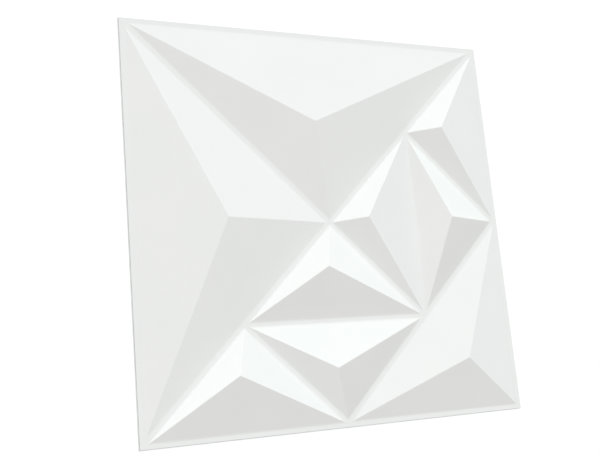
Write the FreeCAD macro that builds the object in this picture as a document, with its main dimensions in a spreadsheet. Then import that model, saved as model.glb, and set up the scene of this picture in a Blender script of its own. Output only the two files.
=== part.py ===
import FreeCAD
import Part
import Sketcher
import math
import os
from collections import namedtuple

# A square wall panel formed from one thin sheet. Nine raised three-sided pyramids stand on
# it, with flat lands between them, and the back is the hollow of the front.
# The back lies on z = 0 with the origin at its middle, and the pyramids point to +Z.

NODE = "wall_panel"

# Driving sizes in millimetres, and the tips' share as a plain ratio
SIZES = [
    ("panel_side", 500.0),    # outer side of the square sheet
    ("sheet_wall", 1.0),      # thickness of the sheet, measured along Z
    ("border", 6.0),          # flat rim from the sheet's edge to the outer pyramids
    ("land", 5.5),            # flat strip between two pyramids
    ("relief", 19.0),         # height of the tips above the lands
    ("tip_share", 0.5),       # where a tip lies, from the square corner to the long edge
    ("tip_lean_x", -15.0),    # sideways lean that all the tips share
    ("tip_lean_y", 3.5),      # lean towards the upper edge that all the tips share
    ("foot_radius", 6.0),     # hollow rounding where a pyramid meets a land
]

# Half the side of the square that the pyramids share out between them
HALF = "(Sizes.panel_side / 2 - Sizes.border)"

# How a sketch names its origin, its own X axis and the two ends of a line
ORIGIN = (-1, 1)
X_AXIS = -1
START = 1
END = 2

# Length that a sketch's lines are drawn with, before its sizes are tied
ROUGH = 100.0

# Decimals kept in a direction, so that a nought stays a plain nought
DECIMALS = 12

# A pyramid stands on a right isosceles triangle. Its square corner is given in halves of
# the pattern, and opens the way that the angle says. Depth is from that corner to the long
# edge, also in halves. An edge on a land keeps half a land's width from the pattern line,
# and an edge on the rim lies on it.
Pyramid = namedtuple("Pyramid", "name corner_x corner_y opens depth legs_on_land long_on_land")
DIAGONAL = math.sqrt(0.5)
PYRAMIDS = [
    Pyramid("top_large", 0, 0, 90, 1, True, False),
    Pyramid("left_large", 0, 0, 180, 1, True, False),
    Pyramid("upper_right", 0.5, 0.5, 0, 0.5, True, False),
    Pyramid("inner_right", 0, 0, 0, 0.5, True, True),
    Pyramid("outer_right", 1, 0, 180, 0.5, True, True),
    Pyramid("inner_low", 0, 0, 270, 0.5, True, True),
    Pyramid("outer_low", 0, -1, 90, 0.5, True, True),
    Pyramid("lower_left", -0.5, -0.5, 270, 0.5, True, False),
    Pyramid("corner_medium", 1, -1, 135, DIAGONAL, False, True),
]


def make_sheet(doc):
    """Keep the driving sizes in a spreadsheet, each under its own name."""
    sheet = doc.addObject("Spreadsheet::Sheet", "Sizes")
    for row, (alias, value) in enumerate(SIZES, start=1):
        sheet.set(f"A{row}", alias)
        sheet.set(f"B{row}", str(value))
        sheet.setAlias(f"B{row}", alias)
    doc.recompute()
    return sheet


def level_sketch(body, name, turn=0):
    """An empty sketch on the body's ground plane, turned about Z."""
    sketch = body.newObject("Sketcher::SketchObject", name)
    ground = next(plane for plane in body.Origin.OriginFeatures if plane.Role == "XY_Plane")
    sketch.AttachmentSupport = [(ground, "")]
    sketch.MapMode = "FlatFace"
    rotation = FreeCAD.Rotation(FreeCAD.Vector(0, 0, 1), turn)
    sketch.AttachmentOffset = FreeCAD.Placement(FreeCAD.Vector(), rotation)
    return sketch


def place(sketch, x, y, z):
    """Tie a sketch's place to the sizes."""
    for axis, expression in zip("xyz", (x, y, z)):
        sketch.setExpression(f"AttachmentOffset.Base.{axis}", expression)


def closed_outline(sketch, points):
    """Draw straight lines round the points and join their ends."""
    corners = [FreeCAD.Vector(x, y, 0) for x, y in points]
    count = len(corners)
    for index in range(count):
        sketch.addGeometry(Part.LineSegment(corners[index], corners[(index + 1) % count]))
    for index in range(count):
        sketch.addConstraint(Sketcher.Constraint("Coincident", index, END, (index + 1) % count, START))


def tie(sketch, constraint, name, expression):
    """Add a sizing constraint and tie it to the sizes."""
    index = sketch.addConstraint(constraint)
    sketch.renameConstraint(index, name)
    sketch.setExpression(f"Constraints.{name}", expression)


def blank_sheet(body):
    """The flat square sheet, before anything is raised on it."""
    outline = level_sketch(body, "sheet_outline")
    closed_outline(outline, [(-ROUGH, -ROUGH), (ROUGH, -ROUGH), (ROUGH, ROUGH), (-ROUGH, ROUGH)])
    for edge, kind in enumerate(("Horizontal", "Vertical", "Horizontal", "Vertical")):
        outline.addConstraint(Sketcher.Constraint(kind, edge))
    outline.addConstraint(Sketcher.Constraint("Symmetric", 0, START, 2, START, *ORIGIN))
    width = Sketcher.Constraint("DistanceX", 0, START, 0, END, 2 * ROUGH)
    height = Sketcher.Constraint("DistanceY", 1, START, 1, END, 2 * ROUGH)
    tie(outline, width, "width", "Sizes.panel_side")
    tie(outline, height, "height", "Sizes.panel_side")
    pad = body.newObject("PartDesign::Pad", "flat_sheet")
    pad.Profile = outline
    pad.setExpression("Length", "Sizes.sheet_wall")


def heading(pyramid):
    """Unit direction from the square corner towards the long edge."""
    angle = math.radians(pyramid.opens)
    return round(math.cos(angle), DECIMALS), round(math.sin(angle), DECIMALS)


def foot_sketch(body, pyramid, name, level):
    """The triangle a pyramid stands on, its square corner at the sketch's own origin."""
    foot = level_sketch(body, name, pyramid.opens)
    closed_outline(foot, [(0, 0), (ROUGH, -ROUGH), (ROUGH, ROUGH)])
    foot.addConstraint(Sketcher.Constraint("Coincident", 0, START, *ORIGIN))
    foot.addConstraint(Sketcher.Constraint("Symmetric", 1, START, 1, END, X_AXIS))
    foot.addConstraint(Sketcher.Constraint("Perpendicular", 0, 2))
    set_back = f"{math.sqrt(2) * pyramid.legs_on_land} * Sizes.land / 2"
    long_gap = f"{int(pyramid.long_on_land)} * Sizes.land / 2"
    depth = Sketcher.Constraint("DistanceX", 0, START, 0, END, ROUGH)
    tie(foot, depth, "depth", f"{pyramid.depth} * {HALF} - {set_back} - {long_gap}")
    along_x, along_y = heading(pyramid)
    place(
        foot,
        f"{pyramid.corner_x} * {HALF} + {along_x} * {set_back}",
        f"{pyramid.corner_y} * {HALF} + {along_y} * {set_back}",
        level,
    )
    return foot


def tip_sketch(body, pyramid, name, level):
    """The single point that the three facets of a pyramid rise to."""
    tip = level_sketch(body, name)
    tip.addGeometry(Part.Point(FreeCAD.Vector()))
    tip.addConstraint(Sketcher.Constraint("Coincident", 0, START, *ORIGIN))
    along_x, along_y = heading(pyramid)
    reach = f"Sizes.tip_share * {pyramid.depth}"
    place(
        tip,
        f"({pyramid.corner_x} + {along_x} * {reach}) * {HALF} + Sizes.tip_lean_x",
        f"({pyramid.corner_y} + {along_y} * {reach}) * {HALF} + Sizes.tip_lean_y",
        f"{level} + Sizes.relief",
    )
    return tip


def raise_pyramid(body, pyramid):
    """Raise a pyramid on the front and press the same form into the back, one sheet apart."""
    for kind, side, level in (
        ("PartDesign::AdditiveLoft", "front", "Sizes.sheet_wall"),
        ("PartDesign::SubtractiveLoft", "back", "0"),
    ):
        loft = body.newObject(kind, f"{pyramid.name}_{side}")
        loft.Profile = foot_sketch(body, pyramid, f"{pyramid.name}_{side}_foot", level)
        loft.Sections = [tip_sketch(body, pyramid, f"{pyramid.name}_{side}_tip", level)]
        loft.Ruled = True


def climb(edge):
    """How far an edge rises from its lower end to its upper one."""
    heights = [vertex.Point.z for vertex in edge.Vertexes]
    return max(heights) - min(heights)


def is_foot(edge, sheet):
    """A level edge that isn't on the sheet's outline."""
    rim = sheet.panel_side / 2 - sheet.border / 2
    inside = all(max(abs(v.Point.x), abs(v.Point.y)) < rim for v in edge.Vertexes)
    return inside and climb(edge) < sheet.sheet_wall / 2


def soften_feet(doc, body, sheet):
    """Round the pyramids' feet, on the front and on the back."""
    doc.recompute()
    base = body.Tip
    feet = [f"Edge{i}" for i, edge in enumerate(base.Shape.Edges, start=1) if is_foot(edge, sheet)]
    rounding = body.newObject("PartDesign::Fillet", "soft_feet")
    rounding.Base = (base, feet)
    rounding.setExpression("Radius", "Sizes.foot_radius")


def check(doc, body):
    """Stop if anything in the document failed or the panel isn't one sound solid."""
    for item in doc.Objects:
        if "Invalid" in item.State or "Error" in item.State:
            raise RuntimeError(f"{item.Label} failed: {item.State}")
    shape = body.Shape
    if shape.isNull() or not shape.isValid() or len(shape.Solids) != 1:
        raise RuntimeError("the panel isn't one valid solid")


def main():
    doc = FreeCAD.newDocument("wall_panel_document")
    sheet = make_sheet(doc)
    body = doc.addObject("PartDesign::Body", "panel_body")
    body.Label = NODE
    blank_sheet(body)
    for pyramid in PYRAMIDS:
        raise_pyramid(body, pyramid)
    soften_feet(doc, body, sheet)
    doc.recompute()
    check(doc, body)
    os.makedirs("parts", exist_ok=True)
    body.Shape.exportStep(f"parts/{body.Label}.step")
    print(f"{body.Label}: {body.Shape.Volume:.0f} mm3, {len(body.Shape.Faces)} faces")


main()
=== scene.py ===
import math
import bmesh
import bpy
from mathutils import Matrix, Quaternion, Vector


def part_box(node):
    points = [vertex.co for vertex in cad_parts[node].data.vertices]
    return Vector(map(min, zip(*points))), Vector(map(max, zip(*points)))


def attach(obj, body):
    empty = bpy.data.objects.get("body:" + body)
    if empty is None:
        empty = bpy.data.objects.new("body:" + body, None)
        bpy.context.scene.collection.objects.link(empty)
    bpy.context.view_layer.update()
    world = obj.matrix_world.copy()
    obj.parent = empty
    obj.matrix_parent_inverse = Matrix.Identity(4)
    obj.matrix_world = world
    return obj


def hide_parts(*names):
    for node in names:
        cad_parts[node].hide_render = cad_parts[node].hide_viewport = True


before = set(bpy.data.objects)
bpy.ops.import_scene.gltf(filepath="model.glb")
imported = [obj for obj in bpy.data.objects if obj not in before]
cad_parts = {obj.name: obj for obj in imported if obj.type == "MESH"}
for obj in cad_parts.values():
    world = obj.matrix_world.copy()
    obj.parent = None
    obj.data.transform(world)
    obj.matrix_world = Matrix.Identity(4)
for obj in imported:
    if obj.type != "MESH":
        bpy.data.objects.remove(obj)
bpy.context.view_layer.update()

MM = 0.001
UP = Vector((0, 0, 1))

# Sizes of the moulded panel
SHEET = 1.0 * MM                           # thickness of the sheet, measured straight up
RIM = 6.0 * MM                             # flat strip from the sheet's edge to the pyramids
LAND = 5.5 * MM                            # flat strip between two pyramids
TIP_SHARE = 0.5                            # where a tip lies, from the square corner to the long edge
TIP_LEAN = Vector((-15.0, 3.5, 0.0)) * MM  # lean that all the tips share

# The panel's side and the height of its tips above the lands, from the frame
low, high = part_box("wall_panel")
SIDE = high.x - low.x
RELIEF = high.z - low.z - SHEET
HALF = SIDE / 2 - RIM

# How far each kind of edge is rounded, and the faces across each rounding
FOOT_SOFTNESS = 1.5 * MM
FOOT_STEPS = 5
RIDGE_SOFTNESS = 0.3 * MM
RIDGE_STEPS = 6
CUT_EDGE = 0.2 * MM
CUT_EDGE_STEPS = 2

# An edge that turns by less than this is shaded smooth
SMOOTH_UNDER = math.radians(10)

# A face is flat where its normal's upward part is more than this
LEVEL = 0.9999

# Where the pattern's lines meet, in halves of the pattern from its middle
NODES = {
    "middle": (0, 0),
    "upper_left": (-1, 1),
    "upper_right": (1, 1),
    "lower_left": (-1, -1),
    "lower_right": (1, -1),
    "right_side": (1, 0),
    "low_side": (0, -1),
    "right_high": (0.5, 0.5),
    "right_low": (0.5, -0.5),
    "left_low": (-0.5, -0.5),
}

# The lands that share the pattern out, in the order that they are cut
LANDS = [
    ("lower_left", "upper_right"),
    ("upper_left", "middle"),
    ("low_side", "right_side"),
    ("middle", "right_low"),
    ("right_high", "right_low"),
    ("left_low", "right_low"),
    ("right_high", "right_side"),
    ("left_low", "low_side"),
]

# Each pyramid's square corner, then the two ends of its long edge
PYRAMIDS = [
    ("middle", "upper_left", "upper_right"),
    ("middle", "upper_left", "lower_left"),
    ("right_high", "upper_right", "right_side"),
    ("middle", "right_high", "right_low"),
    ("right_side", "right_high", "right_low"),
    ("middle", "left_low", "right_low"),
    ("low_side", "left_low", "right_low"),
    ("left_low", "lower_left", "low_side"),
    ("lower_right", "low_side", "right_side"),
]

# How many finer layers a pattern has in it
SOFT_PATTERN = 1.0
MIXED_PATTERN = 2.0
GRITTY_PATTERN = 3.0

# The finish of the formed PVC. Its real grain is about a fifth of a millimetre, too fine to show
# from the camera, so it is drawn coarser
PVC_FULL = "#E7E7E5"
PVC_THIN = "#E2E3E1"
PVC_ROUGHNESS = (0.85, 0.95)
PVC_IOR = 1.53
PIGMENT_DRIFT = 90 * MM
SHEEN_PATCH = 12 * MM
DRAW_WAVE = 35 * MM
DRAW_DEPTH = 0.2 * MM
GRAIN = 1.6 * MM
GRAIN_DEPTH = 0.03 * MM

# The PVC that the trimming knife laid bare, grey as painted shade, with drag marks drawn coarser than
# real ones
PAINTED_SHADE_PALE = "#A2A29F"
PAINTED_SHADE_DARK = "#8B8B88"
CUT_ROUGHNESS = 0.8
DRAG_MARK = 2.5 * MM
DRAG_DEPTH = 0.05 * MM

# The floor's paper, with its fibres drawn coarser than real ones for the same reason
PAPER_WHITE = "#FDFDFD"
PAPER_ROUGHNESS = 0.9
PAPER_FIBRE = 2.0 * MM
PAPER_DEPTH = 0.02 * MM

# The floor's side in metres, and how far it lies below the panel's back
FLOOR_SIDE = 24.0
FLOOR_GAP = 0.05 * MM

# The camera: its place, the point that it looks at, its roll, and its lens in millimetres
CAMERA_PLACE = Vector((-424.8, -196.2, 902.1)) * MM
CAMERA_LOOKS_AT = Vector((-41.4, -17.8, 0.0)) * MM
CAMERA_ROLL = math.radians(62.1)
CAMERA_LENS = 48.8

# The lights: name, bearing from +X towards +Y and height in degrees, strength, colour, and
# whether it throws a shadow
SOFTBOXES = [
    ("key", 30, 36, 2.13, "#F7FAFF", True),
    ("fill", 180, 20, 2.29, "#F9FCFF", False),
    ("kicker", 60, 10, 1.47, "#EEFEFF", False),
]

# How wide a light looks from the panel, and where its lamp is put, in metres from the origin
SOFTBOX_WIDTH = math.radians(6)
SOFTBOX_DISTANCE = 3.0

# The even light of the room
ROOM_COLOUR = "#FFFAF4"
ROOM_STRENGTH = 0.36

# The white paper that stands up all round beyond the floor: how bright it is, up to what height
# above the horizon, and the height where it has faded into the room
SWEEP_STRENGTH = 1.15
SWEEP_FULL = math.radians(3)
SWEEP_ENDS = math.radians(6)


def node_place(name):
    """A pattern node's place on the flat sheet."""
    x, y = NODES[name]
    return Vector((x * HALF, y * HALF, 0))


def tip_place(square_corner, end_one, end_two):
    """Where a pyramid's tip stands on the sheet's back."""
    corner = node_place(square_corner)
    long_edge = (node_place(end_one) + node_place(end_two)) / 2
    return corner.lerp(long_edge, TIP_SHARE) + TIP_LEAN + UP * RELIEF


def select(panel, kind, wanted):
    """Select the vertices, edges or faces that the test picks, and nothing else."""
    bpy.ops.mesh.select_all(action="DESELECT")
    bpy.ops.mesh.select_mode(type={"verts": "VERT", "edges": "EDGE", "faces": "FACE"}[kind])
    mesh = bmesh.from_edit_mesh(panel.data)
    for element in getattr(mesh, kind):
        if wanted(element):
            element.select_set(True)
    mesh.select_flush_mode()
    bmesh.update_edit_mesh(panel.data)


def holds(face, point):
    """Whether a flat face, seen from above, has the point inside it."""
    corners = [v.co for v in face.verts]
    turns = []
    for here, after in zip(corners, corners[1:] + corners[:1]):
        turns.append((after - here).xy.cross((point - here).xy))
    return all(t > 0 for t in turns) or all(t < 0 for t in turns)


def cut_lands(panel):
    """Mark the rim, then cut along both sides of each land, which leaves nine triangles."""
    bpy.ops.mesh.inset(thickness=RIM)
    for start, end in LANDS:
        here, there = node_place(start), node_place(end)
        halfway = (here + there) / 2
        across = (there - here).cross(UP).normalized()
        for side in (-1, 1):
            select(panel, "faces", lambda face: holds(face, halfway))
            bpy.ops.mesh.bisect(plane_co=halfway + across * side * LAND / 2, plane_no=across)


def raise_pyramids(panel):
    """Poke each triangle between the lands and draw its middle up to the tip."""
    select(panel, "faces", lambda face: len(face.verts) == 3)
    bpy.ops.mesh.poke()
    for corners in PYRAMIDS:
        centre = sum((node_place(name) for name in corners), Vector()) / len(corners)
        mesh = bmesh.from_edit_mesh(panel.data)
        poked = min((v.co for v in mesh.verts), key=lambda co: (co - centre).length).copy()
        select(panel, "verts", lambda vertex: vertex.co == poked)
        bpy.ops.transform.translate(value=tip_place(*corners) - poked)


def is_foot(edge):
    """Whether an edge is where a facet meets the flat of the sheet."""
    flat = [face.normal.z > LEVEL for face in edge.link_faces]
    return sorted(flat) == [False, True]


def is_ridge(edge):
    """Whether an edge climbs to a tip."""
    return abs(edge.verts[0].co.z - edge.verts[1].co.z) > RELIEF / 2


def soften(panel):
    """Round the feet widely and the ridges tightly, as the sheet draws over its mould."""
    for wanted, softness, steps in (
        (is_foot, FOOT_SOFTNESS, FOOT_STEPS),
        (is_ridge, RIDGE_SOFTNESS, RIDGE_STEPS),
    ):
        select(panel, "edges", wanted)
        bpy.ops.mesh.bevel(offset=softness, segments=steps, affect="EDGES", clamp_overlap=False)


def thicken():
    """Give the sheet its thickness straight up, so that the back is the front's hollow."""
    bpy.ops.mesh.select_all(action="SELECT")
    bpy.ops.mesh.extrude_region_move(TRANSFORM_OT_translate={"value": UP * SHEET})
    bpy.ops.mesh.select_all(action="SELECT")
    bpy.ops.mesh.normals_make_consistent(inside=False)


def is_trimmed(element):
    """Whether an edge or a face lies wholly on the sheet's outline."""
    return all(max(abs(v.co.x), abs(v.co.y)) > SIDE / 2 - RIM / 2 for v in element.verts)


def is_front_outline(edge):
    """Whether an edge runs round the sheet's outline, on the front."""
    return is_trimmed(edge) and all(v.co.z > SHEET / 2 for v in edge.verts)


def break_cut_edge(panel):
    """Take the sharpness off the front edge that the trimming knife left."""
    select(panel, "edges", is_front_outline)
    bpy.ops.mesh.bevel(offset=CUT_EDGE, segments=CUT_EDGE_STEPS, affect="EDGES")


def formed_panel():
    """The whole panel, laid out flat and then drawn up."""
    bpy.ops.object.select_all(action="DESELECT")
    bpy.ops.mesh.primitive_plane_add(size=SIDE)
    panel = bpy.context.object
    panel.name = "formed_panel"
    bpy.ops.object.mode_set(mode="EDIT")
    cut_lands(panel)
    raise_pyramids(panel)
    soften(panel)
    thicken()
    break_cut_edge(panel)
    bpy.ops.object.mode_set(mode="OBJECT")
    bpy.ops.object.shade_smooth_by_angle(angle=SMOOTH_UNDER)
    panel.modifiers.new("flat_facets", "WEIGHTED_NORMAL").keep_sharp = True
    bpy.ops.object.modifier_apply(modifier="flat_facets")
    return panel


def linear(hex_colour):
    """An sRGB hex colour as linear red, green, blue and alpha."""
    channels = [int(hex_colour[i:i + 2], 16) / 255 for i in (1, 3, 5)]
    return [c / 12.92 if c <= 0.04045 else ((c + 0.055) / 1.055) ** 2.4 for c in channels] + [1.0]


def new_material(name):
    """A node material of that name, and its shader."""
    material = bpy.data.materials.new(name)
    material.use_nodes = True
    return material, material.node_tree.nodes["Principled BSDF"]


def add_node(owner, kind, settings, links):
    """Add a node to a material or the world, set its values and link its inputs."""
    node = owner.node_tree.nodes.new(kind)
    for name, value in settings.items():
        node.inputs[name].default_value = value
    for name, source in links.items():
        owner.node_tree.links.new(source, node.inputs[name])
    return node


def formed_white_pvc():
    """Rigid white PVC sheet, vacuum formed over a matt mould. The eye gets a clean white that is
    faintly uneven where the sheet was drawn, a very fine grain and next to no gloss."""
    material, shader = new_material("formed_white_pvc")
    place = add_node(material, "ShaderNodeTexCoord", {}, {}).outputs["Object"]

    drift = add_node(
        material,
        "ShaderNodeTexNoise",
        {"Scale": 1 / PIGMENT_DRIFT, "Detail": MIXED_PATTERN},
        {"Vector": place},
    )
    tone = add_node(material, "ShaderNodeValToRGB", {}, {"Fac": drift.outputs["Fac"]})
    tone.color_ramp.elements[0].color = linear(PVC_THIN)
    tone.color_ramp.elements[1].color = linear(PVC_FULL)

    patches = add_node(
        material,
        "ShaderNodeTexNoise",
        {"Scale": 1 / SHEEN_PATCH, "Detail": GRITTY_PATTERN},
        {"Vector": place},
    )
    sheen = add_node(
        material,
        "ShaderNodeMapRange",
        {"To Min": PVC_ROUGHNESS[0], "To Max": PVC_ROUGHNESS[1]},
        {"Value": patches.outputs["Fac"]},
    )

    draw = add_node(
        material,
        "ShaderNodeTexNoise",
        {"Scale": 1 / DRAW_WAVE, "Detail": SOFT_PATTERN},
        {"Vector": place},
    )
    waves = add_node(
        material,
        "ShaderNodeBump",
        {"Distance": DRAW_DEPTH},
        {"Height": draw.outputs["Fac"]},
    )
    grit = add_node(
        material,
        "ShaderNodeTexNoise",
        {"Scale": 1 / GRAIN, "Detail": MIXED_PATTERN},
        {"Vector": place},
    )
    grain = add_node(
        material,
        "ShaderNodeBump",
        {"Distance": GRAIN_DEPTH},
        {"Height": grit.outputs["Fac"], "Normal": waves.outputs["Normal"]},
    )

    shader.inputs["IOR"].default_value = PVC_IOR
    links = material.node_tree.links
    links.new(tone.outputs["Color"], shader.inputs["Base Color"])
    links.new(sheen.outputs["Result"], shader.inputs["Roughness"])
    links.new(grain.outputs["Normal"], shader.inputs["Normal"])
    return material


def painted_shade_edge_pvc():
    """The same PVC where a knife has trimmed the sheet, coloured grey as painted shade. The eye gets
    a fine, dull, greyer line of painted shade round the outline, uneven where the blade dragged."""
    material, shader = new_material("painted_shade_edge_pvc")
    place = add_node(material, "ShaderNodeTexCoord", {}, {}).outputs["Object"]

    drag = add_node(
        material,
        "ShaderNodeTexNoise",
        {"Scale": 1 / DRAG_MARK, "Detail": GRITTY_PATTERN},
        {"Vector": place},
    )
    tone = add_node(material, "ShaderNodeValToRGB", {}, {"Fac": drag.outputs["Fac"]})
    tone.color_ramp.elements[0].color = linear(PAINTED_SHADE_DARK)
    tone.color_ramp.elements[1].color = linear(PAINTED_SHADE_PALE)
    marks = add_node(
        material,
        "ShaderNodeBump",
        {"Distance": DRAG_DEPTH},
        {"Height": drag.outputs["Fac"]},
    )

    shader.inputs["IOR"].default_value = PVC_IOR
    shader.inputs["Roughness"].default_value = CUT_ROUGHNESS
    links = material.node_tree.links
    links.new(tone.outputs["Color"], shader.inputs["Base Color"])
    links.new(marks.outputs["Normal"], shader.inputs["Normal"])
    return material


def dress(panel):
    """PVC as it was formed all over, and grey painted shade on the faces round the trimmed outline.
    """
    finishes = panel.data.materials
    finishes.append(formed_white_pvc())
    finishes.append(painted_shade_edge_pvc())
    bpy.ops.object.mode_set(mode="EDIT")
    # The outline's faces take the grey material, whose colour is painted shade
    select(panel, "faces", is_trimmed)
    panel.active_material_index = finishes.find("painted_shade_edge_pvc")
    bpy.ops.object.material_slot_assign()
    bpy.ops.object.mode_set(mode="OBJECT")


def studio_paper():
    """Seamless white background paper. The eye gets an even white with no gloss."""
    material, shader = new_material("studio_paper")
    place = add_node(material, "ShaderNodeTexCoord", {}, {}).outputs["Object"]
    fibres = add_node(
        material,
        "ShaderNodeTexNoise",
        {"Scale": 1 / PAPER_FIBRE, "Detail": GRITTY_PATTERN},
        {"Vector": place},
    )
    tooth = add_node(
        material,
        "ShaderNodeBump",
        {"Distance": PAPER_DEPTH},
        {"Height": fibres.outputs["Fac"]},
    )
    shader.inputs["Base Color"].default_value = linear(PAPER_WHITE)
    shader.inputs["Roughness"].default_value = PAPER_ROUGHNESS
    material.node_tree.links.new(tooth.outputs["Normal"], shader.inputs["Normal"])
    return material


def paper_floor():
    """The pale floor that the panel lies on, a hair below its back."""
    bpy.ops.object.select_all(action="DESELECT")
    bpy.ops.mesh.primitive_plane_add(size=FLOOR_SIDE, location=(0, 0, -FLOOR_GAP))
    floor = bpy.context.object
    floor.name = "floor"
    floor.data.materials.append(studio_paper())
    return floor


def stand_camera():
    """The camera at the photograph's viewing angle, from the left and a little from below."""
    data = bpy.data.cameras.new("camera")
    data.lens = CAMERA_LENS
    camera = bpy.data.objects.new("camera", data)
    bpy.context.scene.collection.objects.link(camera)
    camera.location = CAMERA_PLACE
    aim = (CAMERA_LOOKS_AT - CAMERA_PLACE).to_track_quat("-Z", "Y")
    camera.rotation_euler = (aim @ Quaternion(UP, CAMERA_ROLL)).to_euler()
    bpy.context.scene.camera = camera


def far_softbox(name, bearing, height, strength, colour, throws_shadow):
    """A softbox so far off that it lights the panel evenly, like a wide sun."""
    data = bpy.data.lights.new(name, "SUN")
    data.energy = strength
    data.color = linear(colour)[:3]
    data.angle = SOFTBOX_WIDTH
    data.use_shadow = throws_shadow
    light = bpy.data.objects.new(name, data)
    bpy.context.scene.collection.objects.link(light)
    flat = Vector((math.cos(math.radians(bearing)), math.sin(math.radians(bearing)), 0))
    towards = flat * math.cos(math.radians(height)) + UP * math.sin(math.radians(height))
    light.location = towards * SOFTBOX_DISTANCE
    light.rotation_euler = towards.to_track_quat("Z", "Y").to_euler()


def pale_room():
    """The even light that comes back from the studio's pale walls and ceiling, and the white
    paper that stands up beyond the floor, so that the floor has no visible end."""
    world = bpy.data.worlds.new("pale_room")
    world.use_nodes = True
    direction = add_node(world, "ShaderNodeTexCoord", {}, {}).outputs["Generated"]
    height = add_node(world, "ShaderNodeSeparateXYZ", {}, {"Vector": direction}).outputs["Z"]
    fade = {
        "From Min": math.sin(SWEEP_FULL),
        "From Max": math.sin(SWEEP_ENDS),
        "To Min": SWEEP_STRENGTH,
        "To Max": ROOM_STRENGTH,
    }
    brightness = add_node(world, "ShaderNodeMapRange", fade, {"Value": height})
    background = world.node_tree.nodes["Background"]
    background.inputs["Color"].default_value = linear(ROOM_COLOUR)
    world.node_tree.links.new(brightness.outputs["Result"], background.inputs["Strength"])
    bpy.context.scene.world = world


panel = formed_panel()
dress(panel)
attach(panel, "root")
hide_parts("wall_panel")

paper_floor()
stand_camera()
for softbox in SOFTBOXES:
    far_softbox(*softbox)
pale_room()
bpy.context.scene.view_settings.view_transform = "Standard"
